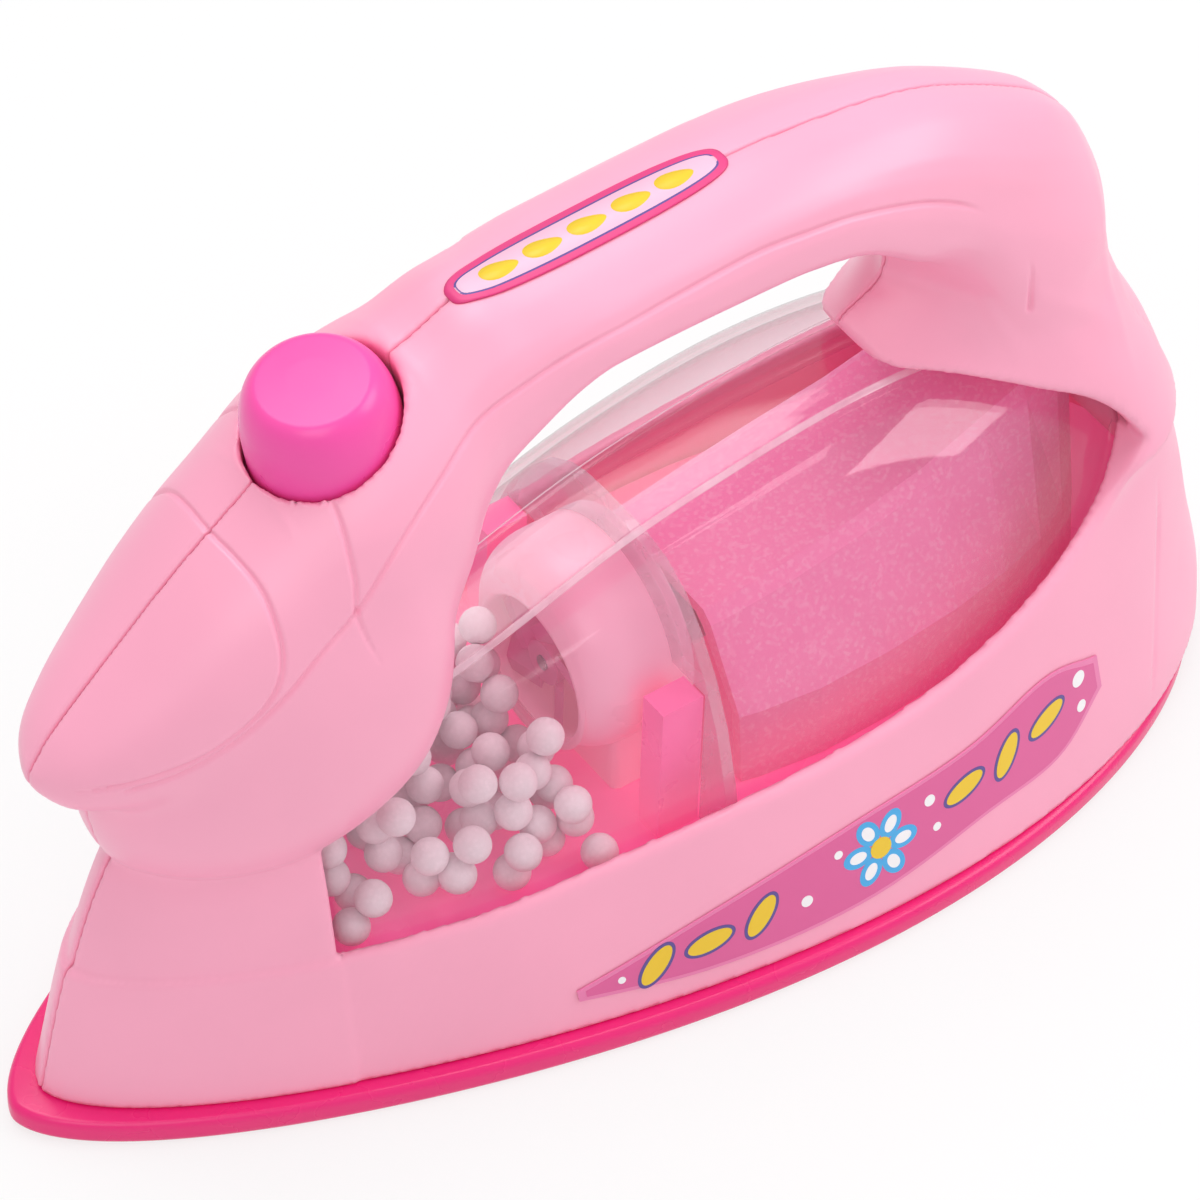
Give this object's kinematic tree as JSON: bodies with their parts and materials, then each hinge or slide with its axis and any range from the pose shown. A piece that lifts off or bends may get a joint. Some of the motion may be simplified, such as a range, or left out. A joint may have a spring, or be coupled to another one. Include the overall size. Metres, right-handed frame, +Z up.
{
  "type": "toy iron",
  "caption": "Play clothes iron with a boat-shaped sole, a two-part housing with a bow handle, a clear bead chamber with a blower, and a sprung push button.",
  "frame": {"origin": "middle of the box's bottom face, on the table", "axes": "-X towards the toe of the sole, +X towards the heel, +Z up; +Y is the right-hand side seen from behind the heel looking to the toe"},
  "size_m": [0.1729, 0.073, 0.1045],
  "materials": {
    "sole": "glossy",
    "housing": "satin gloss",
    "clear": "clear, smooth",
    "tray": "glossy",
    "pod": "glossy",
    "fan": "matt",
    "steel": "plated",
    "liner": "frosted",
    "cell": "plain sleeve",
    "button": "glossy",
    "dark": "matt",
    "board": "matt",
    "label": "printed sheet",
    "foam": "matt foam"
  },
  "bodies": {
    "body": {"sole_plate": "sole", "left_housing": "housing", "right_housing": "housing", "clear_cover": "clear", "base_tray": "tray", "arch_bulkhead": "clear", "blower_pod": "pod", "motor": "steel", "rear_liner": "liner", "battery_left": "cell", "battery_right": "cell", "battery_springs": "steel", "contact_plates": "steel", "battery_door": "sole", "door_screw": "steel", "button_spring": "steel", "switch": "dark", "switch_board": "board", "housing_screws": "steel", "sole_screws": "steel", "handle_label": "label", "foam_beads": "foam"},
    "rotor": {"fan": "fan", "motor_shaft": "steel"},
    "button": {"push_button": "button"}
  },
  "joints": [
    {"name": "fan_spin", "type": "hinge", "parent": "body", "child": "rotor", "pos_m": [-0.0075, 0, 0.034], "axis": [1, 0, 0], "continuous": true},
    {"name": "button_slide", "type": "slide", "parent": "body", "child": "button", "axis": [0.1736, 0, -0.9848], "range_m": [0, 0.0024], "stiffness_N_per_m": 300, "springref_m": -0.001, "deforming": ["button_spring"]}
  ]
}
